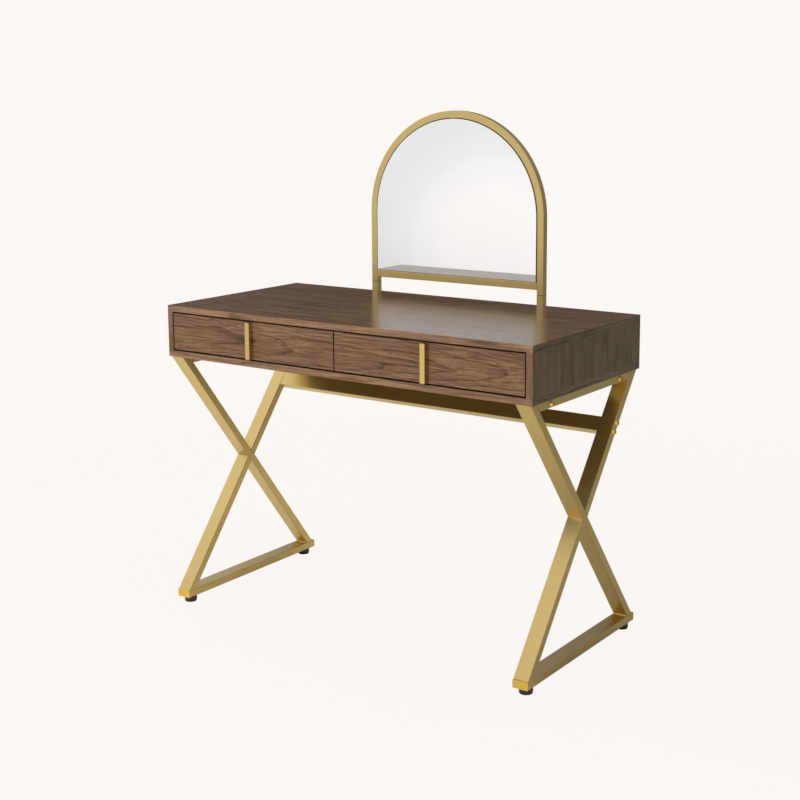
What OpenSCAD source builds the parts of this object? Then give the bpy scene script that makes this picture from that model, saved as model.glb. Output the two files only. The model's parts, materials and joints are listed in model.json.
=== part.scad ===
// Vanity table with a fixed arched mirror: a two-drawer walnut-veneered case
// on two crossed-leg frames of flat brass-finished tube, joined by a rear rail.
// Millimetres. +X is the right-hand side, -Y the front, +Z up, floor at Z = 0.

/* [Overall] */
// width of the case, side to side
table_w = 1035; // [800:5:1300]
// depth of the case, front to back
table_d = 495; // [400:5:650]
// height of the top above the floor
table_h = 762; // [700:1:900]
// height of the whole case
case_h = 127; // [110:1:180]
// height of the top of the mirror's arch above the floor
mirror_top = 1230; // [1100:1:1500]

/* [Case] */
// thickness of the case boards
board_t = 15; // [12:0.5:25]
// thickness of the back board
back_t = 12; // [6:0.5:18]
// thickness of the upright between the drawers
divider_t = 15; // [15:0.5:25]
// distance of the cam locks and dowels from the board ends
cam_up = 20; // [14:1:30]
// cam lock diameter
cam_d = 15; // [12:1:20]
// cam lock thickness
cam_t = 12.3; // [9:0.1:14]
// cam lock distance in front of and behind the middle
cam_y = 150; // [80:1:180]
// dowel diameter
dowel_d = 8; // [6:1:10]
// dowel length inside an upright board
dowel_in = 20; // [12:1:30]
// dowel length inside the top or bottom board
dowel_out = 10; // [6:1:12]
// dowel distance in front of and behind the middle
dowel_y = 185; // [100:1:200]

/* [Drawers] */
// thickness of the drawer fronts
front_t = 15; // [12:0.5:25]
// gap round each drawer front
front_gap = 4; // [1.5:0.5:6]
// how far the fronts sit behind the case edges
front_recess = 0.5; // [0:0.5:4]
// gap between a closed front and the board edges behind it
seat_gap = 1.5; // [0.5:0.5:5]
// distance of a closed drawer box from the back board
box_back = 67.5; // [15:0.5:150]
// height of the drawer box
box_h = 70; // [50:1:90]
// thickness of the drawer box sides and back
box_t = 12; // [9:0.5:18]
// thickness of the drawer bottom
bottom_t = 5; // [3:0.5:9]
// height of the drawer bottom above the box's lower edge
bottom_up = 8; // [6:0.5:15]
// depth of the grooves that hold the drawer bottom
groove = 6; // [3:0.5:8]
// play of the drawer bottom in its grooves
groove_play = 0.2; // [0.1:0.05:0.5]

/* [Slides] */
// width of each telescopic slide, wall to drawer box
slide_t = 12.7; // [12:0.1:14]
// height of the slide's outer member
slide_h = 35; // [27:1:45]
// how much shorter than the drawer box the slides are
slide_short = 10; // [4:1:100]
// distance of the slides behind the drawer front
slide_back = 3; // [1:0.5:10]
// sheet thickness of the slide members
slide_wall = 1.2; // [1:0.1:1.6]
// gap above and below each nested member
slide_play = 0.5; // [0.3:0.1:1]
// gap between the webs of the outer and the middle member
web_gap = 2.2; // [1.8:0.1:3]
// slide screw diameter
runner_screw_d = 3.5; // [3:0.5:4]
// slide screw depth in the board
runner_screw_in = 7; // [5:0.5:7]

/* [Pulls] */
// width of the bar pulls
pull_w = 13; // [8:0.5:25]
// how far the bar pulls stand proud
pull_d = 12; // [8:0.5:30]
// how much shorter than the front a pull is, at each end
pull_short = 0.5; // [0:0.5:20]
// edge radius of the pulls
pull_r = 0.8; // [0.3:0.1:3]
// distance between the two screws of a pull
pull_pitch = 28; // [20:1:50]
// pull screw diameter
pull_screw_d = 4; // [3:0.5:5]
// how far a pull screw goes into the bar
pull_screw_in = 8; // [5:0.5:9]

/* [Frames] */
// width of the frame tube, side to side
tube_w = 38; // [25:0.5:60]
// thickness of the frame tube
tube_t = 19; // [12:0.5:30]
// wall of the frame tube
tube_wall = 1.5; // [1:0.1:3]
// outer corner radius of the frame tube
tube_r = 1.8; // [1:0.1:4]
// distance of the frames inside the case's sides
frame_inset = 5; // [0:0.5:60]
// distance of the leg tops inside the case's front and rear
leg_inset = 2; // [0:0.5:40]
// height of the bottom rails' underside above the floor
foot_lift = 16; // [14:0.5:30]
// how far a bottom rail runs past the front leg
rail_over_front = 2.5; // [2:0.5:60]
// how far a bottom rail runs past the rear leg
rail_over_rear = 9; // [2:0.5:60]
// thickness of the rail end caps
cap_t = 2; // [1.5:0.5:5]
// length of the cap's plug inside the rail
cap_plug = 8; // [5:1:15]
// height of the rear rail's middle below the case
rear_rail_drop = 121; // [60:1:250]
// thickness of the threaded plates in the rear rail's ends
end_plate = 12; // [8:1:20]

/* [Bolts] */
// frame bolt diameter
bolt_d = 8; // [6:1:8]
// frame bolt head diameter
bolt_head_d = 14; // [12:0.5:16]
// frame bolt head height
bolt_head_h = 6; // [3:0.1:8]
// frame bolt hexagon socket, across the flats
bolt_hex = 5; // [4:1:6]
// distance between the two bolts at each end of the rear rail
rear_pitch = 23; // [18:1:28]
// bolts of the top rails, in front of and behind the middle
rail_bolt_y = 158; // [60:1:180]
// how far the top rail bolts lie below the rail's middle
rail_bolt_low = 1.5; // [0:0.5:2]
// sheet thickness of the corner brackets
bracket_t = 3; // [2:0.5:4]
// leg length of the corner brackets
bracket_l = 30; // [24:1:50]
// width of the corner brackets
bracket_w = 30; // [24:1:50]
// wood screw diameter
wood_screw_d = 4; // [3:0.5:5]
// wood screw depth in the case
wood_screw_in = 11; // [8:0.5:12]
// radial clearance of a screw, bolt or stud in its hole
thread_fit = 0.05; // [0.02:0.01:0.1]

/* [Feet] */
// diameter of the levelling feet
foot_d = 31; // [20:1:36]
// height of a levelling foot's disc
foot_h = 13; // [8:0.5:13]
// stud diameter of the levelling feet
stud_d = 8; // [6:1:10]
// height of the stud's end inside the rail
stud_in = 15; // [12:0.5:17]
// distance of the feet from the rail ends
foot_back = 25; // [18:1:80]
// outer diameter of the threaded inserts
insert_d = 12; // [10:1:14]
// length of the inserts inside the rail
insert_l = 12; // [8:1:14]

/* [Mirror] */
// outer width of the mirror frame
mirror_w = 516; // [300:2:800]
// thickness of the mirror frame's square tube
mirror_tube = 18; // [14:0.5:30]
// wall of the mirror frame's tube
mirror_wall = 1.5; // [1:0.1:2]
// outer corner radius of the mirror frame's tube
mirror_r = 1.2; // [0.6:0.1:3]
// height of the crossbar's underside above the top
crossbar_up = 36.5; // [15:0.5:120]
// distance of the post joint below the crossbar
joint_below = 12; // [5:0.5:14]
// width of the lip at the post joint that the frame stands on
joint_lip = 0.3; // [0.2:0.1:0.8]
// height of the groove round the post joint
joint_line = 1.3; // [0.5:0.1:3]
// length of the spigot inside the mirror frame
spigot_l = 40; // [20:1:80]
// play of the spigot in the frame tube, each side
spigot_play = 0.15; // [0.1:0.05:0.3]
// height of the posts' lower ends above the case's underside
post_up = 15; // [0:1:40]
// gap between the glass and the frame, when the glass is in the middle
glass_gap = 2; // [0.5:0.5:4]
// gap under the glass
glass_foot = 1; // [0.5:0.5:4]
// how far the glass sits to the left of the middle, which is less than the gap
glass_shift = 1.4; // [0:0.1:3]
// how far the glass sits behind the frame's front
glass_back = 1; // [0.5:0.5:6]
// gap between the backing board and the frame
backing_gap = 0.5; // [0.3:0.1:3]
// thickness of the glass
glass_t = 5; // [3:0.5:6]
// post bolt diameter
post_bolt_d = 6; // [5:1:8]
// post bolt distance from the back board's upper and lower edges
post_bolt_up = 25; // [15:1:40]
// length of the retaining clips
clip_l = 30; // [24:1:40]
// width of the retaining clips
clip_w = 14; // [10:1:20]
// thickness of the retaining clips
clip_t = 1.5; // [1:0.5:3]
// clip screw diameter
clip_screw_d = 3; // [2.5:0.5:4]
// height of the clip screws' heads
clip_head = 1.6; // [1:0.1:2.5]

/* [Hidden] */
$fn = 48;
big = 3000;
hw = table_w / 2;
hd = table_d / 2;
z_case = table_h - case_h;          // underside of the case
z_lo = z_case + board_t;            // inside floor of the case
z_hi = table_h - board_t;           // inside ceiling of the case
z_mid = (z_lo + z_hi) / 2;
x_in = hw - board_t;                // inner face of a side board
y_back = hd - back_t;               // inner face of the back board

// drawers
bay_w = x_in - divider_t / 2;
bay_c = (x_in + divider_t / 2) / 2;
front_w = x_in - front_gap * 1.5;
front_c = (x_in - front_gap + front_gap / 2) / 2;
front_h = z_hi - z_lo - 2 * front_gap;
y_front = -hd + front_recess;
y_box = y_front + front_t;          // rear face of a drawer front
box_d = y_back - box_back - y_box;  // depth of a drawer box behind its front
box_w = bay_w - 2 * slide_t;
box_in = box_w - 2 * box_t;
z_box = z_mid - box_h / 2;
z_bot = z_box + bottom_up;
y_slide = y_box + slide_back;
slide_len = box_d - slide_short;
slide_ys = [y_slide + 30, y_slide + slide_len / 2, y_slide + slide_len - 30];

// frames
z_rail = foot_lift + tube_t;        // top of a bottom rail
z_cross = (z_case + z_rail) / 2;    // where the legs cross
leg_s = hd - leg_inset;             // half the leg spread, outside to outside
leg_b = (z_case - z_rail) / 2;
// lean of the legs from the vertical
lean = acos(tube_t / 2 / sqrt(leg_s * leg_s + leg_b * leg_b)) - atan2(leg_b, leg_s);
leg_k = tan(lean);
leg_h = tube_t / 2 / cos(lean);     // half the leg's level thickness
x_out = hw - frame_inset;           // outer face of a frame
x_frm = x_out - tube_w / 2;         // middle of a frame
x_inn = x_out - tube_w;             // inner face of a frame
z_trail = z_case - tube_t / 2;      // middle of a top rail
trail_half = leg_s - leg_h - tube_t / 2 * leg_k;
y_rail0 = -leg_s - rail_over_front;
y_rail1 = leg_s + rail_over_rear;
z_rbolt = z_trail - rail_bolt_low;
rear_along = (z_case - rear_rail_drop - z_cross) / cos(lean);
foot_ys = [y_rail0 + foot_back, y_rail1 - foot_back];

// mirror
m_in = mirror_w / 2 - mirror_tube;  // half the frame's inner width
m_mid = (mirror_w - mirror_tube) / 2;
y_m0 = hd;                          // front of the mirror frame
y_m1 = y_m0 + mirror_tube;          // rear of the mirror frame
z_arch = mirror_top - mirror_w / 2;
z_bar0 = table_h + crossbar_up;
z_bar1 = z_bar0 + mirror_tube;
z_joint = z_bar0 - joint_below;
z_post = z_case + post_up;
m_void = mirror_tube - 2 * mirror_wall;
glass_r = m_in - glass_gap;
y_g0 = y_m0 + glass_back;
y_g1 = y_g0 + glass_t;
z_glass = z_bar1 + glass_foot;
z_pb = [z_lo + post_bolt_up, z_hi - post_bolt_up];
z_clip = z_arch - (z_arch - z_bar1) / 6;
z_clip2 = z_bar1 + (z_arch - z_bar1) / 4;
clips = [[m_in, z_clip2, 0], [m_in, z_clip, 0], [-m_in, z_clip2, 180], [-m_in, z_clip, 180],
    [m_in * cos(48), z_arch + m_in * sin(48), 48], [m_in * cos(132), z_arch + m_in * sin(132), 132],
    [m_in / 2, z_bar1, -90], [-m_in / 2, z_bar1, -90]];
clip_screw_u = mirror_tube / 2;
post_head_h = post_bolt_d * 0.55;
post_nut = 5;
post_wash = 1.2;

// the box of the whole object is centred on the origin in Y
y_min = y_front - pull_d;
y_max = y_m1 + max(post_head_h * 0.9, clip_t + clip_head);
y_shift = -(y_min + y_max) / 2;

walnut = [0.42, 0.28, 0.19];
walnut_dark = [0.33, 0.25, 0.19];
gold = [0.80, 0.66, 0.40];
bright = [0.88, 0.72, 0.30];
steel = [0.72, 0.73, 0.75];
pale = [0.80, 0.68, 0.50];
black = [0.05, 0.05, 0.05];

module placed() { translate([0, y_shift, 0]) children(); }

// a rounded rectangle and a tube section, both centred
module rrect(w, h, r) {
    square([w - 2 * r, h], center = true);
    square([w, h - 2 * r], center = true);
    for (x = [-1, 1]) for (y = [-1, 1])
        translate([x * (w / 2 - r), y * (h / 2 - r)]) circle(r = r);
}
module section(w, h, r, t) {
    difference() {
        rrect(w, h, r);
        rrect(w - 2 * t, h - 2 * t, max(r - t, 0.3));
    }
}

// a block between two corners
module block(x0, x1, y0, y1, z0, z1) {
    translate([min(x0, x1), min(y0, y1), z0]) cube([abs(x1 - x0), abs(y1 - y0), z1 - z0]);
}

// cylinders along X, Y and Z that start at the origin
module rod_x(d, l) { rotate([0, 90, 0]) cylinder(d = d, h = l); }
module rod_y(d, l) { rotate([-90, 0, 0]) cylinder(d = d, h = l); }

// a button-head screw: the head stands on the plane Z = 0, the shank goes down
module button(head_d, head_h, d, l, hex) {
    rad = (head_d * head_d / 4 + head_h * head_h) / (2 * head_h);
    difference() {
        union() {
            intersection() {
                translate([0, 0, head_h - rad]) sphere(r = rad);
                cylinder(d = head_d, h = head_h);
            }
            translate([0, 0, -l]) cylinder(d = d, h = l);
        }
        translate([0, 0, head_h * 0.45]) cylinder(d = hex / cos(30), h = head_h, $fn = 6);
    }
}

// ---------------------------------------------------------------- case
module cam_spots() {
    // each is [x of the face it opens on, direction into the board]
    for (f = [[x_in, 1], [-x_in, -1], [-divider_t / 2, 1]])
        for (y = [-cam_y, cam_y]) for (z = [z_lo + cam_up, z_hi - cam_up])
            translate([f[0], y, z]) rotate([0, f[1] * 90, 0]) children();
}
module dowel_spots() {
    for (x = [x_in + board_t / 2, -x_in - board_t / 2, 0]) for (y = [-dowel_y, dowel_y]) {
        translate([x, y, z_hi]) children();
        translate([x, y, z_lo]) mirror([0, 0, 1]) children();
    }
}
module dowel_hole() {
    translate([0, 0, -dowel_in - 1])
        cylinder(d = dowel_d + 2 * thread_fit, h = dowel_in + dowel_out + 1.5);
}
module runner_spots() {
    for (b = [-1, 1]) for (d = [-1, 1]) for (y = slide_ys)
        translate([b * bay_c + d * bay_w / 2, y, z_mid]) rotate([0, d * 90, 0]) children();
}
module post_spots() {
    for (x = [-m_mid, m_mid]) for (z = z_pb) translate([x, 0, z]) children();
}
module top_panel() {
    color(walnut) placed() difference() {
        block(-hw, hw, -hd, hd, z_hi, table_h);
        dowel_spots() dowel_hole();
    }
}
module bracket_spots() {
    for (s = [-1, 1]) for (y = [-rail_bolt_y, rail_bolt_y]) translate([s * x_inn, y, z_case])
        mirror([s > 0 ? 1 : 0, 0, 0]) children();
}
module bracket_screw_spots() {
    bracket_spots() for (y = [-bracket_w / 4, bracket_w / 4])
        translate([bracket_l * 0.66, y, 0]) children();
}
module bottom_panel() {
    color(walnut) placed() difference() {
        block(-hw, hw, -hd, hd, z_case, z_lo);
        dowel_spots() dowel_hole();
        bracket_screw_spots() translate([0, 0, -1])
            cylinder(d = wood_screw_d + 2 * thread_fit, h = wood_screw_in + 1.3);
    }
}
module side_panel(s) {
    color(walnut_dark) placed() difference() {
        block(s * x_in, s * hw, -hd, hd, z_lo, z_hi);
        dowel_spots() dowel_hole();
        cam_spots() translate([0, 0, -1]) cylinder(d = cam_d + 2 * thread_fit, h = cam_t + 1.2);
        runner_spots() cylinder(d = runner_screw_d + 2 * thread_fit, h = runner_screw_in + 0.2);
    }
}
module left_side_panel() { side_panel(-1); }
module right_side_panel() { side_panel(1); }
module back_panel() {
    color(walnut_dark) placed() difference() {
        block(-x_in, x_in, y_back, hd, z_lo, z_hi);
        post_spots() translate([0, y_back - 1, 0])
            rod_y(post_bolt_d + 2 * thread_fit, back_t + 2);
    }
}
module centre_divider() {
    color(walnut_dark) placed() difference() {
        block(-divider_t / 2, divider_t / 2, y_box + seat_gap, y_back, z_lo, z_hi);
        dowel_spots() dowel_hole();
        cam_spots() translate([0, 0, -1]) cylinder(d = cam_d + 2 * thread_fit, h = cam_t + 1.2);
        runner_spots() cylinder(d = runner_screw_d + 2 * thread_fit, h = runner_screw_in + 0.2);
    }
}
module cam_locks() {
    color(steel) placed() cam_spots() difference() {
        cylinder(d = cam_d, h = cam_t);
        for (a = [0, 90]) rotate([0, 0, a])
            translate([-cam_d * 0.3, -0.6, -1]) cube([cam_d * 0.6, 1.2, 3.5]);
    }
}
module panel_dowels() {
    color(pale) placed() dowel_spots()
        translate([0, 0, -dowel_in]) cylinder(d = dowel_d, h = dowel_in + dowel_out);
}

// ---------------------------------------------------------------- slides
// a channel: its web lies at u = 0 and it opens towards +u
module channel(u, h, depth) {
    translate([u, 0, 0]) rotate([-90, 0, 0]) translate([0, 0, y_slide]) linear_extrude(height = slide_len)
        difference() {
            translate([0, -h / 2]) square([depth, h]);
            translate([slide_wall, -h / 2 + slide_wall]) square([depth, h - 2 * slide_wall]);
        }
}
mid_h = slide_h - 2 * slide_wall - 2 * slide_play;
inner_h = mid_h - 2 * slide_wall - 2 * slide_play;
// at each slide of drawer b: +X leads from the case's board to the drawer box
module slide_at(b) {
    for (d = [-1, 1]) translate([b * bay_c + d * bay_w / 2, 0, z_mid])
        mirror([d > 0 ? 1 : 0, 0, 0]) children();
}
module drawer_runners() {
    color(steel) placed() difference() {
        for (b = [-1, 1]) slide_at(b) channel(0, slide_h, slide_t * 0.75);
        runner_spots() translate([0, 0, -slide_wall - 1])
            cylinder(d = runner_screw_d + 2 * thread_fit, h = slide_wall + 2);
    }
}
module runner_screws() {
    color(steel) placed() runner_spots() {
        cylinder(d = runner_screw_d, h = runner_screw_in);
        translate([0, 0, -slide_wall]) cylinder(d = runner_screw_d, h = slide_wall);
        translate([0, 0, -slide_wall - 1.3]) cylinder(d = runner_screw_d * 2, h = 1.3);
    }
}
module slide_carriages(b) {
    color(steel) placed() slide_at(b) channel(slide_wall + web_gap, mid_h, slide_t * 0.6);
}
module left_slide_carriages() { slide_carriages(-1); }
module right_slide_carriages() { slide_carriages(1); }
module drawer_slides(b) {
    color(steel) placed() slide_at(b) translate([slide_t, 0, 0]) mirror([1, 0, 0])
        channel(0, inner_h, slide_t * 0.52);
}
module left_drawer_slides() { drawer_slides(-1); }
module right_drawer_slides() { drawer_slides(1); }

// ---------------------------------------------------------------- drawers
module pull_screw_spots(b) {
    for (z = [-pull_pitch / 2, pull_pitch / 2])
        translate([b * front_c, y_box, z_mid + z]) rotate([90, 0, 0]) children();
}
module drawer_front(b) {
    color(walnut) placed() difference() {
        block(b * front_c - front_w / 2, b * front_c + front_w / 2, y_front, y_box,
            z_lo + front_gap, z_hi - front_gap);
        block(b * bay_c - box_in / 2 - groove, b * bay_c + box_in / 2 + groove,
            y_box - groove, y_box + 1, z_bot, z_bot + bottom_t + groove_play / 2);
        pull_screw_spots(b) translate([0, 0, -1])
            cylinder(d = pull_screw_d + 2 * thread_fit, h = front_t + 2);
    }
}
module left_drawer_front() { drawer_front(-1); }
module right_drawer_front() { drawer_front(1); }
// o is 1 for the side beside the case's side board, -1 for the one by the divider
module drawer_side(b, o) {
    x0 = b * bay_c + b * o * box_in / 2;
    x1 = b * bay_c + b * o * box_w / 2;
    color(pale) placed() difference() {
        block(x0, x1, y_box, y_box + box_d, z_box, z_box + box_h);
        block(x0 - b * o, x0 + b * o * groove, y_box - 1, y_box + box_d + 1,
            z_bot, z_bot + bottom_t + groove_play / 2);
    }
}
module left_drawer_outer_side() { drawer_side(-1, 1); }
module left_drawer_inner_side() { drawer_side(-1, -1); }
module right_drawer_outer_side() { drawer_side(1, 1); }
module right_drawer_inner_side() { drawer_side(1, -1); }
module drawer_back(b) {
    color(pale) placed() block(b * bay_c - box_in / 2, b * bay_c + box_in / 2,
        y_box + box_d - box_t, y_box + box_d, z_bot + bottom_t, z_box + box_h);
}
module left_drawer_back() { drawer_back(-1); }
module right_drawer_back() { drawer_back(1); }
module drawer_bottom(b) {
    r = box_in / 2 + groove - groove_play;
    color(pale) placed() block(b * bay_c - r, b * bay_c + r,
        y_box - groove + groove_play, y_box + box_d, z_bot, z_bot + bottom_t);
}
module left_drawer_bottom() { drawer_bottom(-1); }
module right_drawer_bottom() { drawer_bottom(1); }
module drawer_pull(b) {
    color(gold) placed() difference() {
        translate([b * front_c, y_front - pull_d / 2, z_lo + front_gap + pull_short])
            linear_extrude(height = front_h - 2 * pull_short) rrect(pull_w, pull_d, pull_r);
        pull_screw_spots(b) cylinder(d = pull_screw_d + 2 * thread_fit,
            h = front_t + pull_screw_in + 0.5);
    }
}
module left_drawer_pull() { drawer_pull(-1); }
module right_drawer_pull() { drawer_pull(1); }
module pull_screws(b) {
    color(steel) placed() pull_screw_spots(b) difference() {
        union() {
            cylinder(d = pull_screw_d, h = front_t + pull_screw_in);
            translate([0, 0, -2.6]) cylinder(d = pull_screw_d * 2, h = 2.6);
        }
        for (a = [0, 90]) rotate([0, 0, a]) translate([-2.2, -0.5, -3]) cube([4.4, 1, 2]);
    }
}
module left_pull_screws() { pull_screws(-1); }
module right_pull_screws() { pull_screws(1); }

// ---------------------------------------------------------------- frames
// the bar of a leg through the crossing: dir 1 leans to the front at its top
module leg_tube(dir) {
    translate([0, 0, z_cross]) rotate([dir * lean, 0, 0])
        linear_extrude(height = big / 2, center = true) section(tube_w, tube_t, tube_r, tube_wall);
}
module leg_block(dir) {
    translate([0, 0, z_cross]) rotate([dir * lean, 0, 0])
        cube([tube_w * 2, tube_t, big / 2], center = true);
}
module rear_bolt_spots() {
    // on the outer face of each rear leg; +Z leads out of the frame
    for (s = [-1, 1]) for (v = [-rear_pitch / 2, rear_pitch / 2])
        translate([0, 0, z_cross]) rotate([-lean, 0, 0])
            translate([s * x_out, 0, rear_along + v]) rotate([0, s * 90, 0]) children();
}
module top_bolt_spots() {
    for (s = [-1, 1]) for (y = [-rail_bolt_y, rail_bolt_y])
        translate([s * x_out, y, z_rbolt]) rotate([0, s * 90, 0]) children();
}
module foot_spots(xs, ys) {
    for (x = xs) for (y = ys) translate([x * x_frm, y, 0]) children();
}
module long_leg(s) {
    color(gold) placed() translate([s * x_frm, 0, 0]) intersection() {
        leg_tube(1);
        block(-tube_w, tube_w, -big / 4, big / 4, z_rail, z_case);
    }
}
module left_long_leg() { long_leg(-1); }
module right_long_leg() { long_leg(1); }
module upper_leg(s) {
    color(gold) placed() difference() {
        translate([s * x_frm, 0, 0]) difference() {
            intersection() {
                leg_tube(-1);
                block(-tube_w, tube_w, -big / 4, big / 4, z_cross, z_case);
            }
            leg_block(1);
        }
        rear_bolt_spots() translate([0, 0, -tube_w - 1])
            cylinder(d = bolt_d + 2 * thread_fit, h = tube_w + 2);
    }
}
module left_upper_leg() { upper_leg(-1); }
module right_upper_leg() { upper_leg(1); }
module lower_leg(s) {
    color(gold) placed() translate([s * x_frm, 0, 0]) difference() {
        intersection() {
            leg_tube(-1);
            block(-tube_w, tube_w, -big / 4, big / 4, z_rail, z_cross);
        }
        leg_block(1);
    }
}
module left_lower_leg() { lower_leg(-1); }
module right_lower_leg() { lower_leg(1); }
module top_rail(s) {
    color(gold) placed() difference() {
        translate([s * x_frm, 0, 0]) difference() {
            translate([0, 0, z_trail]) rotate([90, 0, 0])
                linear_extrude(height = 2 * trail_half, center = true)
                    section(tube_w, tube_t, tube_r, tube_wall);
            leg_block(1);
            leg_block(-1);
        }
        top_bolt_spots() translate([0, 0, -tube_w - 1])
            cylinder(d = bolt_d + 2 * thread_fit, h = tube_w + 2);
    }
}
module left_top_rail() { top_rail(-1); }
module right_top_rail() { top_rail(1); }
module bottom_rail(s) {
    color(gold) placed() difference() {
        translate([s * x_frm, y_rail1 - cap_t, foot_lift + tube_t / 2]) rotate([90, 0, 0])
            linear_extrude(height = y_rail1 - y_rail0 - 2 * cap_t)
                section(tube_w, tube_t, tube_r, tube_wall);
        foot_spots([s], foot_ys) translate([0, 0, foot_lift - 1])
            cylinder(d = insert_d + 2 * thread_fit, h = tube_wall + 2);
    }
}
module left_bottom_rail() { bottom_rail(-1); }
module right_bottom_rail() { bottom_rail(1); }
module rail_end_caps() {
    color(bright) placed() for (s = [-1, 1]) for (e = [[y_rail0, 0], [y_rail1, 1]])
        translate([s * x_frm, e[0], foot_lift + tube_t / 2]) mirror([0, e[1], 0]) {
            rotate([-90, 0, 0]) linear_extrude(height = cap_t) rrect(tube_w, tube_t, tube_r);
            rotate([-90, 0, 0]) linear_extrude(height = cap_t + cap_plug)
                rrect(tube_w - 2 * tube_wall - 2 * spigot_play,
                    tube_t - 2 * tube_wall - 2 * spigot_play, 0.5);
        }
}
module rear_rail() {
    color(gold) placed() difference() {
        translate([0, 0, z_cross]) rotate([-lean, 0, 0]) translate([0, 0, rear_along]) {
            rotate([0, 90, 0]) linear_extrude(height = 2 * x_inn, center = true)
                section(tube_w, tube_t, tube_r, tube_wall);
            // threaded plates welded into the two ends
            for (s = [-1, 1]) translate([s * (x_inn - end_plate / 2), 0, 0])
                cube([end_plate, tube_t - 2 * tube_wall, tube_w - 2 * tube_wall], center = true);
        }
        rear_bolt_spots() translate([0, 0, -tube_w - end_plate - 1])
            cylinder(d = bolt_d + 2 * thread_fit, h = end_plate + 2);
    }
}
module rear_rail_bolts() {
    color(bright) placed() rear_bolt_spots()
        button(bolt_head_d, bolt_head_h, bolt_d, tube_w + end_plate, bolt_hex);
}
module top_rail_bolts() {
    color(bright) placed() top_bolt_spots()
        button(bolt_head_d, bolt_head_h, bolt_d, tube_w + bracket_t + 3, bolt_hex);
}
module corner_brackets() {
    color(steel) placed() difference() {
        bracket_spots() {
            translate([0, -bracket_w / 2, -bracket_t]) cube([bracket_l, bracket_w, bracket_t]);
            translate([0, -bracket_w / 2, -tube_t + 1]) cube([bracket_t, bracket_w, tube_t - 1]);
        }
        top_bolt_spots() translate([0, 0, -tube_w - bracket_t - 1])
            cylinder(d = bolt_d + 2 * thread_fit, h = bracket_t + 2);
        bracket_screw_spots() translate([0, 0, -bracket_t - 1])
            cylinder(d = wood_screw_d + 2 * thread_fit, h = bracket_t + 2);
    }
}
module bracket_screws() {
    color(steel) placed() bracket_screw_spots() {
        translate([0, 0, -bracket_t]) cylinder(d = wood_screw_d, h = bracket_t + wood_screw_in);
        translate([0, 0, -bracket_t - 2.4]) cylinder(d = wood_screw_d * 2, h = 2.4);
    }
}

// ---------------------------------------------------------------- feet
module foot_inserts() {
    color(steel) placed() foot_spots([-1, 1], foot_ys) difference() {
        union() {
            translate([0, 0, foot_lift - 1]) cylinder(d = insert_d + 4, h = 1);
            translate([0, 0, foot_lift]) cylinder(d = insert_d, h = insert_l);
        }
        translate([0, 0, foot_lift - 2]) cylinder(d = stud_d + 2 * thread_fit, h = insert_l + 4);
    }
}
module foot(x, i) {
    edge = foot_h * 0.3;
    color(black) placed() foot_spots([x], [foot_ys[i]]) {
        rotate_extrude() {
            square([foot_d / 2 - edge, foot_h]);
            translate([0, edge]) square([foot_d / 2, foot_h - edge - 1]);
            square([foot_d / 2 - 1, foot_h - edge]);
            translate([foot_d / 2 - edge, edge]) circle(r = edge);
            translate([0, foot_h - 2]) square([foot_d / 2 - 1, 2]);
            translate([foot_d / 2 - 1, foot_h - 1]) circle(r = 1);
        }
        cylinder(d = stud_d, h = foot_lift + stud_in);
    }
}
module foot_front_left() { foot(-1, 0); }
module foot_front_right() { foot(1, 0); }
module foot_rear_left() { foot(-1, 1); }
module foot_rear_right() { foot(1, 1); }

// ---------------------------------------------------------------- mirror
module mirror_section() { section(mirror_tube, mirror_tube, mirror_r, mirror_wall); }
module at_clips(u) {
    for (c = clips) translate([c[0], y_m1, c[1]]) rotate([0, -c[2], 0])
        for (v = u) translate([v, 0, 0]) rotate([-90, 0, 0]) children();
}
module clip_holes() {
    at_clips([-clip_screw_u, clip_screw_u]) translate([0, 0, -8.3])
        cylinder(d = clip_screw_d + 2 * thread_fit, h = 12);
}
module mirror_frame() {
    color(gold) placed() difference() {
        union() {
            for (x = [-m_mid, m_mid]) translate([x, (y_m0 + y_m1) / 2, z_joint])
                linear_extrude(height = z_arch - z_joint) mirror_section();
            translate([0, (y_m0 + y_m1) / 2, z_arch]) rotate([90, 0, 0])
                rotate_extrude(angle = 180) translate([m_mid, 0]) mirror_section();
        }
        clip_holes();
    }
}
module mirror_crossbar() {
    color(gold) placed() difference() {
        translate([0, (y_m0 + y_m1) / 2, (z_bar0 + z_bar1) / 2]) rotate([0, 90, 0])
            linear_extrude(height = 2 * m_in, center = true) mirror_section();
        clip_holes();
    }
}
module mirror_post(s) {
    color(gold) placed() difference() {
        translate([s * m_mid, (y_m0 + y_m1) / 2, 0]) {
            translate([0, 0, z_post]) linear_extrude(height = z_joint - joint_line - z_post)
                mirror_section();
            // a narrower neck leaves a fine groove under the frame
            translate([0, 0, z_joint - joint_line]) linear_extrude(height = joint_line)
                square(m_void + 2 * joint_lip, center = true);
            translate([0, 0, z_post]) linear_extrude(height = 2)
                rrect(mirror_tube, mirror_tube, mirror_r);
            // spigot welded into the upper end
            translate([-m_void / 2, -m_void / 2, z_joint - 15]) cube([m_void, m_void, 15]);
            translate([-m_void / 2 + spigot_play, -m_void / 2 + spigot_play, z_joint - 1])
                cube([m_void - 2 * spigot_play, m_void - 2 * spigot_play, spigot_l + 1]);
        }
        post_spots() translate([0, y_m0 - 1, 0])
            rod_y(post_bolt_d + 2 * thread_fit, mirror_tube + 2);
    }
}
module left_mirror_post() { mirror_post(-1); }
module right_mirror_post() { mirror_post(1); }
module post_bolts() {
    color(bright) placed() post_spots() translate([0, y_m1, 0]) rotate([-90, 0, 0])
        button(post_bolt_d * 1.75, post_head_h, post_bolt_d,
            mirror_tube + back_t + post_nut + post_wash + 1, 4);
}
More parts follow.
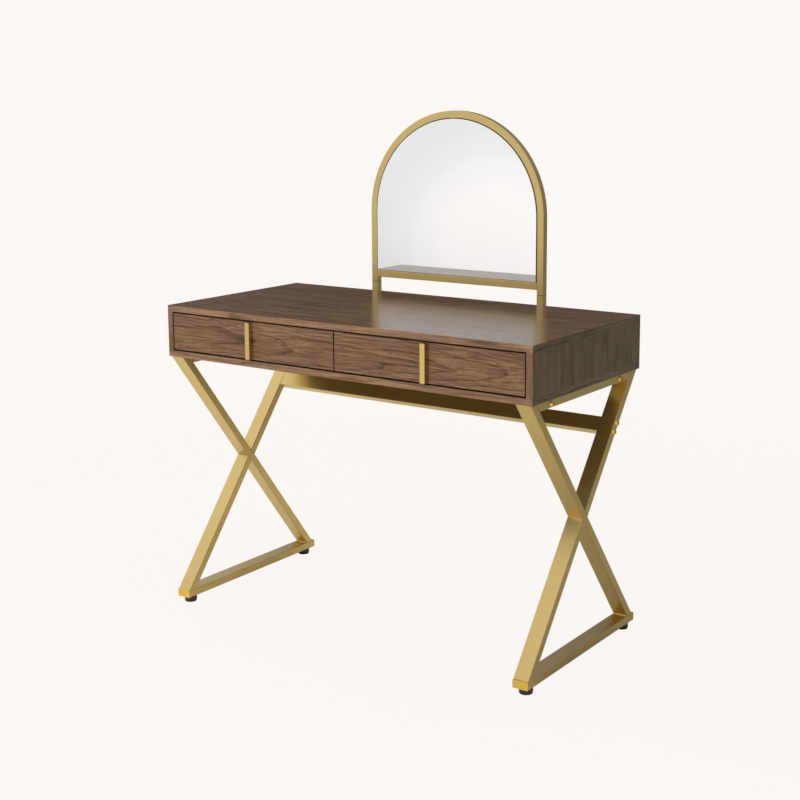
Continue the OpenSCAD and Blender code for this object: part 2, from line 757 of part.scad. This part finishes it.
module post_nuts() {
    color(steel) placed() post_spots() translate([0, y_back, 0]) rotate([90, 0, 0])
        difference() {
            union() {
                cylinder(d = post_bolt_d * 2.3, h = post_wash);
                translate([0, 0, post_wash])
                    cylinder(d = post_bolt_d * 1.9, h = post_nut, $fn = 6);
            }
            translate([0, 0, -1]) cylinder(d = post_bolt_d + 2 * thread_fit, h = post_nut + 4);
        }
}
// a round-topped plate of radius r with its middle at x and its foot at z0
module arched(y0, y1, r, x, z0) {
    translate([x, y1, z_arch]) intersection() {
        rotate([90, 0, 0]) cylinder(r = r, h = y1 - y0, $fn = 96);
        block(-big, big, -big, big, 0, big);
    }
    block(x - r, x + r, y0, y1, z0, z_arch);
}
module mirror_glass() {
    color([0.85, 0.88, 0.92]) placed() arched(y_g0, y_g1, glass_r, -glass_shift, z_glass);
}
module mirror_backing() {
    color([0.30, 0.26, 0.22]) placed() difference() {
        arched(y_g1, y_m1, m_in - backing_gap, 0, z_bar1 + backing_gap);
        clip_holes();
    }
}
module mirror_clips() {
    color(steel) placed() difference() {
        at_clips([0]) translate([-clip_l / 2, -clip_w / 2, 0]) cube([clip_l, clip_w, clip_t]);
        clip_holes();
    }
}
module clip_screws() {
    color(steel) placed() at_clips([-clip_screw_u, clip_screw_u]) difference() {
        union() {
            translate([0, 0, -8]) cylinder(d = clip_screw_d, h = 8 + clip_t);
            translate([0, 0, clip_t]) cylinder(d = clip_screw_d * 2, h = clip_head);
        }
        for (a = [0, 90]) rotate([0, 0, a]) translate([-1.8, -0.35, clip_t + clip_head - 0.9])
            cube([3.6, 0.7, 2]);
    }
}

top_panel();
bottom_panel();
left_side_panel();
right_side_panel();
back_panel();
centre_divider();
cam_locks();
panel_dowels();
drawer_runners();
runner_screws();
left_long_leg();
left_upper_leg();
left_lower_leg();
left_top_rail();
left_bottom_rail();
right_long_leg();
right_upper_leg();
right_lower_leg();
right_top_rail();
right_bottom_rail();
rail_end_caps();
rear_rail();
rear_rail_bolts();
top_rail_bolts();
corner_brackets();
bracket_screws();
foot_inserts();
mirror_frame();
mirror_crossbar();
left_mirror_post();
right_mirror_post();
post_bolts();
post_nuts();
mirror_glass();
mirror_backing();
mirror_clips();
clip_screws();
foot_front_left();
foot_front_right();
foot_rear_left();
foot_rear_right();
left_slide_carriages();
right_slide_carriages();
left_drawer_front();
left_drawer_outer_side();
left_drawer_inner_side();
left_drawer_back();
left_drawer_bottom();
left_drawer_pull();
left_pull_screws();
left_drawer_slides();
right_drawer_front();
right_drawer_outer_side();
right_drawer_inner_side();
right_drawer_back();
right_drawer_bottom();
right_drawer_pull();
right_pull_screws();
right_drawer_slides();
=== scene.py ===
import json
import math
import bpy
import bmesh
from mathutils import Matrix, Vector


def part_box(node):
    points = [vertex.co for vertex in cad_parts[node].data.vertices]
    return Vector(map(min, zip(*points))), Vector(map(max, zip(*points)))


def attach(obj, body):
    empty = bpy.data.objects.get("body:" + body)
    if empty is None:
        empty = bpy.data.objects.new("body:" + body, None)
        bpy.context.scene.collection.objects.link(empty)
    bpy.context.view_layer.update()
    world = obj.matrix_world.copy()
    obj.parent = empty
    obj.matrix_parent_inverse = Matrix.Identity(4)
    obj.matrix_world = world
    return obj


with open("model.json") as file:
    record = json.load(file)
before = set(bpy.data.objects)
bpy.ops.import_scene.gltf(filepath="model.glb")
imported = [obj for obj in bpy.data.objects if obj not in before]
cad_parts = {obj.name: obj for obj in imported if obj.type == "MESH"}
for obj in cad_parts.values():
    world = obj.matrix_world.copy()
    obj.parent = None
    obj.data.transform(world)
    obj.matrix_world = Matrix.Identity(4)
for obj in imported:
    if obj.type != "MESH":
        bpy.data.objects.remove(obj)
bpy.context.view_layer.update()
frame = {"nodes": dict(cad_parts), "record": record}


NODES = frame["nodes"]
ROOT = bpy.context.scene.collection


# ------------------------------------------------------------------ node helpers
class Tree:
    """A small builder for shader node trees: t("Math", a, b, operation="ADD")."""

    def __init__(self, tree):
        self.tree = tree
        tree.nodes.clear()

    def __call__(self, kind, *values, out=0, **props):
        node = self.tree.nodes.new("ShaderNode" + kind)
        named = {}
        for key, value in props.items():
            if hasattr(node, key) and not key[0].isupper():
                setattr(node, key, value)
            else:
                named[key.replace("_", " ")] = value
        for i, value in enumerate(values):
            if value is not None:
                self.put(node.inputs[i], value)
        for key, value in named.items():
            self.put(node.inputs[key], value)
        return node.outputs[out] if node.outputs else node

    def put(self, socket, value):
        if isinstance(value, bpy.types.NodeSocket):
            self.tree.links.new(value, socket)
        elif hasattr(socket.default_value, "__len__") and not hasattr(value, "__len__"):
            socket.default_value = [value] * len(socket.default_value)
        elif socket.type == "RGBA" and len(value) == 3:
            socket.default_value = (*value, 1.0)
        else:
            socket.default_value = value

    def ramp(self, factor, *stops, ease="LINEAR"):
        """A colour ramp; each stop is (position, grey or colour)."""
        node = self.tree.nodes.new("ShaderNodeValToRGB")
        node.color_ramp.interpolation = ease
        points = node.color_ramp.elements
        while len(points) < len(stops):
            points.new(0.5)
        for point, (place, colour) in zip(points, stops):
            point.position = place
            colour = (colour,) * 3 if not hasattr(colour, "__len__") else colour
            point.color = (*colour, 1.0)
        self.put(node.inputs[0], factor)
        return node.outputs[0]

    def math(self, op, a, b=None, c=None):
        return self("Math", *[v for v in (a, b, c) if v is not None], operation=op)

    def mix(self, factor, a, b):
        node = self.tree.nodes.new("ShaderNodeMix")
        node.data_type = "RGBA"
        for i, v in ((0, factor), (6, a), (7, b)):
            self.put(node.inputs[i], v)
        return node.outputs[2]

    def noise(self, vector, scale, detail=4.0, rough=0.5, out=0):
        return self("TexNoise", vector, Scale=scale, Detail=detail, Roughness=rough, out=out)

    def axes(self, vector):
        """The X, Y and Z of a vector."""
        node = self.tree.nodes.new("ShaderNodeSeparateXYZ")
        self.put(node.inputs[0], vector)
        return node.outputs

    def dot(self, vector, aim):
        return self("VectorMath", vector, aim, operation="DOT_PRODUCT", out=1)


def material(name):
    mat = bpy.data.materials.new(name)
    mat.use_nodes = True
    return mat, Tree(mat.node_tree)


def finish_material(t, height=None, strength=0.1, distance=0.001, **sockets):
    """Makes the shader, its bump and the output."""
    if height is not None:
        sockets["Normal"] = t("Bump", Strength=strength, Distance=distance, Height=height)
    shader = t("BsdfPrincipled", **sockets)
    t("OutputMaterial", shader)


# ------------------------------------------------------------------ materials
def place(t):
    """Where the surface is on the object, in metres."""
    return t("TexCoord", out=3)


GRAIN_TURN = {"x": (0, 0, 0), "y": (0, 0, math.pi / 2), "z": (0, math.pi / 2, 0)}


FACING = 0.7                              # how squarely a face looks along an axis
WANDER_SCALE, WANDER = (1.7, 8.0, 8.0), (0.0, 0.05, 0.05)
RING_NOISE, RING_UNEVEN = 60.0, 1.6
LATE_WOOD = ((0.0, 0.0), (0.70, 0.22), (0.93, 1.0), (1.0, 0.0))
TONE_STOPS = (0.10, 0.40, 0.62, 0.92)     # where a face's four tones lie, dark to light
BAND_SHARE, STREAK_SHARE, FIBRE_SHARE, FLECK_SHARE = 0.50, 1.25, 0.75, 0.55


def by_face(t, masks, values):
    """Picks one of three values by the axis that a face looks along."""
    on_x, on_y = masks
    return t.mix(on_x, t.mix(on_y, values[2], values[1]), values[0])


def growth_rings(t, bent, ring):
    """Dark late wood at the end of each ring round the tree's middle."""
    _, y, z = t.axes(bent)
    squares = t.math("ADD", t.math("MULTIPLY", y, y), t.math("MULTIPLY", z, z))
    radius = t.math("SQRT", squares)
    uneven = t.noise(t("CombineXYZ", radius, 0.0, 0.0), RING_NOISE, 2.0)
    rings = t.math("MULTIPLY_ADD", uneven, RING_UNEVEN, t.math("DIVIDE", radius, ring))
    return t.ramp(t.math("FRACT", rings), *LATE_WOOD, ease="EASE")


def along(t, bent, length, width, detail=2.0, roughness=0.55):
    """Noise that is drawn out along the grain."""
    return t.noise(t("Mapping", bent, Scale=(length, width, width)), 1.0, detail, roughness)


def walnut(name, faces, heart, rough=0.38, ring=0.011, seed=0.0, arch=0.26, level=0.25,
           relief=0.15):
    """Sliced walnut veneer. faces gives, for faces that look along X, Y and Z, the axis
    their grain runs along and their tones from dark to light, which differ by face partly as
    painted shade; heart is the place and tilt of the tree's middle, which decides where
    the arched figure lies."""
    mat, t = material(name)
    coords = place(t)
    looks = t.axes(t("VectorMath", t("TexCoord", out=1), operation="ABSOLUTE"))
    masks = [t.math("GREATER_THAN", looks[i], FACING) for i in (0, 1)]
    base = by_face(t, masks, [t("Mapping", coords, Rotation=GRAIN_TURN[grain],
                                Location=(seed, 0, 0)) for grain, _ in faces])
    # slow wander of the growth rings, longer along the grain than across it
    slow = t("Mapping", base, Scale=WANDER_SCALE)
    wander = t("VectorMath", t.noise(slow, 1.0, 3.0, 0.5, out=1), (0.5, 0.5, 0.5),
               operation="SUBTRACT")
    wander = t("VectorMath", wander, WANDER, operation="MULTIPLY")
    bent = t("VectorMath", base, wander, operation="ADD")
    bent = t("Mapping", bent, Location=heart[0], Rotation=heart[1])

    late = growth_rings(t, bent, ring)
    band = along(t, bent, 1.6, 55.0)
    streak = along(t, bent, 7.0, 230.0, 3.0, 0.62)
    fibre = along(t, bent, 16.0, 700.0, 2.0)
    flecks = t.ramp(along(t, bent, 45.0, 420.0, 1.0), (0.0, 0.0), (0.60, 0.0), (0.74, 1.0))
    tone = t.math("MULTIPLY_ADD", late, -arch, 0.5 + arch * 0.4)
    for part, share in ((band, BAND_SHARE), (streak, STREAK_SHARE), (fibre, FIBRE_SHARE)):
        tone = t.math("MULTIPLY_ADD", t.math("SUBTRACT", part, 0.5), share, tone)
    # each face direction gets its own ramp of tones; part of the difference is painted shade,
    # with the top darker and the sides darker and more olive
    shades = [t.ramp(tone, *zip(TONE_STOPS, tones)) for _, tones in faces]
    darkest = faces[1][1][0]
    colour = t.mix(t.math("MULTIPLY", flecks, FLECK_SHARE), by_face(t, masks, shades), darkest)
    shine = t.math("MULTIPLY_ADD", streak, 0.16, rough - 0.08)
    height = t.math("SUBTRACT", t.math("MULTIPLY", fibre, 0.5), flecks)
    finish_material(t, height, relief, 0.0003, Base_Color=colour, Roughness=shine,
                    Specular_IOR_Level=level)
    return mat


SPECKLE = 1500.0                          # scale of the blasted surface's grain
# colour of the painted shade in the groove where the mirror's posts meet the frame
GROOVE_SHADE_COLOUR = (0.035, 0.020, 0.006)


def satin_metal(name, colour, rough, coat=0.0, groove_shade=None):
    """Plated and blasted metal: fine speckle in tone and roughness. The last argument gives the
    middle height and half height of a band painted darker: painted shade in a groove."""
    mat, t = material(name)
    base = place(t)
    fine = t.noise(base, SPECKLE, 2.0, 0.6)
    cloud = t.noise(base, 9.0, 3.0, 0.5)
    dark = tuple(c * 0.86 for c in colour)
    tone = t.mix(t.math("MULTIPLY_ADD", cloud, 0.9, t.math("MULTIPLY_ADD", fine, 0.3, -0.1)),
                 dark, colour)
    # painted shade: the band at the groove's height is coloured dark, standing in for the shadow
    # inside it
    if groove_shade:
        middle, half = groove_shade
        off = t.math("ABSOLUTE", t.math("SUBTRACT", t.axes(base)[2], middle))
        tone = t.mix(t.math("LESS_THAN", off, half), tone, GROOVE_SHADE_COLOUR)
    shine = t.math("MULTIPLY_ADD", cloud, 0.08, t.math("MULTIPLY_ADD", fine, 0.06, rough - 0.07))
    finish_material(t, Base_Color=tone, Roughness=shine, Metallic=1.0, Coat_Weight=coat,
                    Coat_Roughness=rough)
    return mat


def sheet_metal(name, colour, rough):
    """Zinc-plated sheet with fine rolling lines along X."""
    mat, t = material(name)
    base = place(t)
    lines = t.noise(t("Mapping", base, Scale=(4, 900, 900)), 1.0, 3.0, 0.6)
    cloud = t.noise(base, 30.0, 3.0)
    tone = t.mix(cloud, tuple(c * 0.8 for c in colour), colour)
    shine = t.math("MULTIPLY_ADD", lines, 0.2, t.math("MULTIPLY_ADD", cloud, 0.1, rough - 0.15))
    finish_material(t, lines, 0.05, 0.0002, Base_Color=tone, Roughness=shine, Metallic=1.0)
    return mat


# tones of each face's veneer, from dark to light. They differ partly as the veneer's own tone
# and partly as painted shade: the top is darker and the sides darker and more olive, standing in
# for how the light falls on each face
FRONT = [(0.040, 0.017, 0.009), (0.112, 0.055, 0.031),
         (0.170, 0.091, 0.052), (0.250, 0.146, 0.086)]
EDGE = [(0.080, 0.036, 0.018), (0.155, 0.080, 0.042),
        (0.215, 0.116, 0.064), (0.30, 0.175, 0.10)]
TOP = [(0.026, 0.013, 0.006), (0.075, 0.040, 0.019),
       (0.120, 0.068, 0.034), (0.190, 0.115, 0.060)]
SIDE = [(0.050, 0.034, 0.018), (0.100, 0.073, 0.038),
        (0.145, 0.107, 0.057), (0.21, 0.157, 0.087)]
SIDE_BAND = [(0.040, 0.024, 0.012), (0.080, 0.052, 0.026),
             (0.122, 0.082, 0.042), (0.18, 0.125, 0.066)]

M = {}
M["front"] = walnut("walnut_front", [("z", EDGE), ("x", FRONT), ("x", EDGE)],
                    ((0, 0.33, -0.69), (0, 0.01, 0.03)), ring=0.0055, seed=0.3, arch=0.30)
M["board"] = walnut("walnut_board", [("y", SIDE_BAND), ("x", EDGE), ("x", TOP)],
                    ((0, 0.05, -0.70), (0, 0.03, 0)), rough=0.22, ring=0.008, seed=1.1, arch=0.3,
                    level=0.42, relief=0.4)
M["side"] = walnut("walnut_upright", [("z", SIDE), ("z", EDGE), ("y", SIDE)],
                   ((0, 0.1, 0.30), (0, 0.02, 0)), ring=0.006, arch=0.14)
GOLD = (0.66, 0.48, 0.172)
M["gold"] = satin_metal("gold_satin", GOLD, 0.30, coat=0.7)
# the groove under the mirror's frame, where each post meets it; its faces get a band of painted
# shade, standing in for the shadow inside the groove
JOINT_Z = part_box("mirror_frame")[0].z
GROOVE = 0.0013
M["post"] = satin_metal("gold_post", GOLD, 0.30, coat=0.7, groove_shade=(JOINT_Z - GROOVE / 2, 0.0007))
M["pull"] = satin_metal("pull_satin", (0.70, 0.50, 0.18), 0.28, coat=0.8)
M["cap"] = satin_metal("cap_gold", (0.88, 0.60, 0.12), 0.22, coat=0.3)
M["bolt"] = satin_metal("bolt_polished", (0.85, 0.62, 0.14), 0.13)
M["zinc"] = sheet_metal("zinc_plate", (0.62, 0.63, 0.65), 0.34)


def pale_board(name, dark, light):
    """Plain board with faint lines along Y."""
    mat, t = material(name)
    base = place(t)
    lines = t.noise(t("Mapping", base, Scale=(260, 5, 260)), 1.0, 4.0, 0.6)
    cloud = t.noise(base, 14.0, 2.0)
    tone = t.mix(t.math("MULTIPLY_ADD", cloud, 0.5, t.math("MULTIPLY", lines, 0.6)), dark, light)
    finish_material(t, lines, 0.12, 0.0004, Base_Color=tone,
                    Roughness=t.math("MULTIPLY_ADD", lines, 0.2, 0.45))
    return mat


M["birch"] = pale_board("drawer_board", (0.40, 0.28, 0.17), (0.62, 0.48, 0.32))
M["dark_board"] = pale_board("backing_board", (0.045, 0.032, 0.024), (0.095, 0.07, 0.05))


def mirror_material():
    """Silvered glass: a sharp reflection with a light haze over it."""
    mat, t = material("mirror_silver")
    base = place(t)
    haze = t.noise(base, 7.0, 2.0)
    tone = t.mix(haze, (0.925, 0.93, 0.945), (0.94, 0.945, 0.96))
    sharp = t("BsdfPrincipled", Base_Color=tone, Metallic=1.0,
              Roughness=t.math("MULTIPLY_ADD", haze, 0.008, 0.008))
    soft = t("BsdfPrincipled", Base_Color=tone, Metallic=1.0,
             Roughness=t.math("MULTIPLY_ADD", haze, 0.05, 0.38))
    t("OutputMaterial", t("MixShader", 0.20, sharp, soft))
    return mat


def black_gloss():
    """Moulded black glide."""
    mat, t = material("black_glide")
    base = place(t)
    haze = t.noise(base, 160.0, 3.0)
    tone = t.mix(haze, (0.002, 0.002, 0.0025), (0.006, 0.006, 0.0065))
    finish_material(t, haze, 0.05, 0.0002, Base_Color=tone, Coat_Weight=0.6, Coat_Roughness=0.08,
                    Roughness=t.math("MULTIPLY_ADD", haze, 0.15, 0.18))
    return mat


M["mirror"] = mirror_material()
M["black"] = black_gloss()

SLOT_LOOK = {
    "walnut_boards": "board", "walnut_fronts": "front", "walnut_uprights": "side",
    "beech_dowels": "birch", "drawer_boards": "birch", "backing_board": "dark_board",
    "gold_tube": "gold", "cap_brass": "cap", "bolt_brass": "bolt", "pull_brass": "pull",
    "slide_zinc": "zinc", "zinc_hardware": "zinc", "mirror_glass": "mirror",
    "black_glide": "black",
}
for entry in frame["record"]["subparts"]:
    obj = NODES[entry["node"]]
    obj.data.materials.clear()
    look = "post" if entry["node"].endswith("mirror_post") else SLOT_LOOK[entry["material_slot"]]
    obj.data.materials.append(M[look])

# ------------------------------------------------------------------ softened edges
EDGES = {"walnut_boards": 0.0006, "walnut_fronts": 0.0006, "walnut_uprights": 0.0005,
         "drawer_boards": 0.0005, "backing_board": 0.0005, "gold_tube": 0.0005}
for entry in frame["record"]["subparts"]:
    if entry["material_slot"] in EDGES:
        obj = NODES[entry["node"]]
        mod = obj.modifiers.new("soft_edges", "BEVEL")
        mod.width = EDGES[entry["material_slot"]]
        mod.segments = 2
        mod.limit_method = "ANGLE"
        mod.angle_limit = math.radians(50)


# ------------------------------------------------------------------ weld beads
BEAD_RADIUS, RIPPLE_PITCH, RIPPLE = 0.0026, 0.0032, 0.13
BEAD_STEPS, BEAD_AROUND = 72, 12


def bead(name, start, end):
    """A rippled fillet weld that runs between two points in the corner it fills."""
    mesh = bpy.data.meshes.new(name)
    obj = bpy.data.objects.new(name, mesh)
    ROOT.objects.link(obj)
    bm = bmesh.new()
    first, run = Vector(start), Vector(end) - Vector(start)
    turn = run.to_track_quat("X", "Z").to_matrix()
    angles = [2 * math.pi * k / BEAD_AROUND for k in range(BEAD_AROUND)]
    loops = []
    for i in range(BEAD_STEPS + 1):
        share = i / BEAD_STEPS
        taper = min(1.0, 0.45 + 9.0 * min(share, 1.0 - share))
        ripple = math.sin(2 * math.pi * run.length * share / RIPPLE_PITCH)
        radius = BEAD_RADIUS * taper * (1.0 + RIPPLE * ripple)
        rim = [Vector((0, radius * math.cos(a), radius * math.sin(a))) for a in angles]
        loops.append([bm.verts.new(first + run * share + turn @ point) for point in rim])
    for here, there in zip(loops, loops[1:]):
        for k in range(BEAD_AROUND):
            j = (k + 1) % BEAD_AROUND
            bm.faces.new((here[k], there[k], there[j], here[j])).smooth = True
    bm.faces.new(loops[0])
    bm.faces.new(loops[-1][::-1])
    bm.to_mesh(mesh)
    bm.free()
    mesh.materials.append(M["gold"])
    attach(obj, "root")


NEAR_FOOT, BEAD_INSET = 0.0005, 0.002
for hand in ("left", "right"):
    for leg in ("long_leg", "lower_leg"):
        low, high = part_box(f"{hand}_{leg}")
        points = NODES[f"{hand}_{leg}"].data.vertices
        foot = [v.co.y for v in points if v.co.z < low.z + NEAR_FOOT]
        inner = min(min(foot), max(foot), key=abs)
        bead(f"{hand}_{leg}_weld", (low.x + BEAD_INSET, inner, low.z),
             (high.x - BEAD_INSET, inner, low.z))


# ------------------------------------------------------------------ floor, light, camera
PALE = (0.985, 0.935, 0.905)              # floor and background, as the camera sees them
FLOOR_R = 6.0
# the floor's colour in reflections and bounced light; the dark tone is a painted shadow to the
# right and rear
FLOOR_LIT, FLOOR_SHADOW_TONE = (0.80, 0.77, 0.62), (0.26, 0.245, 0.19)


def floor():
    """A disc that the camera sees as plain and pale. Reflections and bounced light see
    a painted shadow on it, darker to the right and rear."""
    mesh = bpy.data.meshes.new("floor")
    obj = bpy.data.objects.new("floor", mesh)
    ROOT.objects.link(obj)
    bm = bmesh.new()
    bmesh.ops.create_circle(bm, cap_ends=True, segments=96, radius=FLOOR_R)
    bm.to_mesh(mesh)
    bm.free()
    mat, t = material("floor_pale")
    coords = place(t)
    x, y, _ = t.axes(coords)
    away = t.math("DIVIDE", t("VectorMath", coords, operation="LENGTH", out=1), FLOOR_R)
    far = t.ramp(away, (0.15, 0.0), (0.60, 1.0), ease="EASE")
    grit = t.noise(coords, 3.0, 2.0)
    # painted shadow: the floor is darker to the right and rear, standing in for the shade near
    # the right frame and under the case
    right = t.ramp(t.math("MULTIPLY_ADD", x, 0.5, 0.5), (0.60, 0.0), (0.70, 0.45),
                   (0.75, 0.65), (0.84, 0.72), (1.0, 0.74), ease="EASE")
    rear = t.ramp(t.math("ADD", y, 0.5), (0.18, 0.0), (0.40, 1.0), ease="EASE")
    tone = t.mix(t.math("MULTIPLY", right, rear), FLOOR_LIT, FLOOR_SHADOW_TONE)
    real = t("BsdfPrincipled", Base_Color=tone, Roughness=t.math("MULTIPLY_ADD", grit, 0.1, 0.7))
    glow = t("Emission", PALE, 1.0)
    seen = t("LightPath", out=0)
    blend = t.math("MULTIPLY", seen, t.math("MULTIPLY_ADD", far, 0.03, 0.97))
    # the disc fades out at its rim, so that no mirror shows a hard horizon
    rim = t.ramp(away, (0.55, 0.0), (0.98, 1.0), ease="EASE")
    real = t("MixShader", rim, real, t("BsdfTransparent"))
    t("OutputMaterial", t("MixShader", blend, real, glow))
    mesh.materials.append(mat)


floor()


SIDE_GAIN = 1.15                          # strength of the left and the tall light
GLOW_AIM, GLOW_COLOUR = (-0.5213, -0.8473, -0.1019), (0.24, 0.20, 0.175)


def studio():
    """A soft room, in areas of light that are named for where they stand."""
    world = bpy.data.worlds.new("studio")
    bpy.context.scene.world = world
    world.use_nodes = True
    t = Tree(world.node_tree)
    way = t("TexCoord", out=0)
    front = t.ramp(t.math("ADD", t.dot(way, (0.0, -0.40, 0.22)), 0.5),
                   (0.25, 0.02), (0.50, 0.22), (0.72, 0.72), (0.90, 1.0), ease="EASE")
    left = t.ramp(t.math("ADD", t.dot(way, (-0.5, 0.0, 0.0)), 0.5),
                  (0.0, 0.48), (0.5, 0.80), (0.77, 0.82), (0.84, 1.0), ease="EASE")
    light = t.math("MULTIPLY", front, t.math("MULTIPLY", left, SIDE_GAIN))
    tall = t.ramp(t.dot(way, (-0.5, 0.0, 0.65)),
                  (0.47, 0.0), (0.505, 0.2), (0.55, 0.62), (0.78, 1.0), ease="EASE")
    light = t.math("MAXIMUM", light, t.math("MULTIPLY", tall, SIDE_GAIN))
    behind = t.ramp(t.dot(way, (0.15, 0.3, 0.6)),
                    (0.26, 0.0), (0.33, 0.10), (0.40, 0.16), (0.56, 0.35))
    beside = t.ramp(t.dot(way, (0.45, 0.3, 0.35)),
                    (0.22, 0.0), (0.38, 0.22), (0.44, 0.26), (0.56, 0.30))
    for area_light in (behind, beside):
        light = t.math("MAXIMUM", light, area_light)
    # a small round glow in front, which the mirror shows
    spot = t.ramp(t.math("MULTIPLY_ADD", t.dot(way, GLOW_AIM), -100.0, 100.0),
                  (0.05, 1.0), (0.12, 0.75), (0.22, 0.30), (0.34, 0.0), ease="EASE")
    glow = t("VectorMath", GLOW_COLOUR, operation="SCALE", Scale=spot)
    shade = t("VectorMath", t("CombineXYZ", light, light, light), glow, operation="ADD")
    seen = t("LightPath", out=0)
    t("OutputWorld", t("Background", t.mix(seen, shade, PALE), 1.0))


studio()


def area(name, spot, aim, size, power, colour=(1, 1, 1)):
    """A soft lamp that lights surfaces but isn't seen in them."""
    lamp = bpy.data.lights.new(name, "AREA")
    lamp.shape = "RECTANGLE"
    lamp.size, lamp.size_y = size
    lamp.energy = power
    lamp.color = colour
    obj = bpy.data.objects.new(name, lamp)
    ROOT.objects.link(obj)
    obj.location = spot
    obj.rotation_euler = (Vector(aim) - Vector(spot)).to_track_quat("-Z", "Y").to_euler()
    obj.visible_glossy = False


LAMP_POWER = 45
area("key_soft", (-0.7, -3.3, 1.7), (0, 0, 0.6), (2.0, 2.0), LAMP_POWER, (1.0, 0.97, 0.93))
area("top_soft", (0.2, -0.3, 3.4), (0, 0, 0), (2.6, 2.6), LAMP_POWER, (1.0, 0.98, 0.95))

# the camera stands to the right of the front, looks slightly down and has a small shift
PICTURE_PX = 800.0
SENSOR_MM = 36.0
LENS_PX = 1399.93
SHIFT_PX = -80.0
YAW, PITCH, ROLL = 0.6202, -0.1587, -0.0063
SPOT = Vector((1.92952, -2.69008, 1.26672))   # from the middle of the case's depth


def camera():
    cam = bpy.data.cameras.new("camera")
    obj = bpy.data.objects.new("camera", cam)
    ROOT.objects.link(obj)
    cam.sensor_width = SENSOR_MM
    cam.lens = LENS_PX * SENSOR_MM / PICTURE_PX
    cam.shift_y = SHIFT_PX / PICTURE_PX
    ahead = Vector((-math.sin(YAW) * math.cos(PITCH), math.cos(YAW) * math.cos(PITCH),
                    math.sin(PITCH)))
    level = Vector((math.cos(YAW), math.sin(YAW), 0.0))
    upright = level.cross(ahead)
    right = level * math.cos(ROLL) + upright * math.sin(ROLL)
    up = upright * math.cos(ROLL) - level * math.sin(ROLL)
    turn = Matrix((right, up, -ahead)).transposed().to_4x4()
    low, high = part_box("top_panel")
    middle = Vector((0, (low.y + high.y) / 2, 0))
    obj.matrix_world = Matrix.Translation(SPOT + middle) @ turn
    cam.clip_start, cam.clip_end = 0.05, 200.0
    bpy.context.scene.camera = obj


camera()
bpy.context.scene.view_settings.view_transform = "Standard"
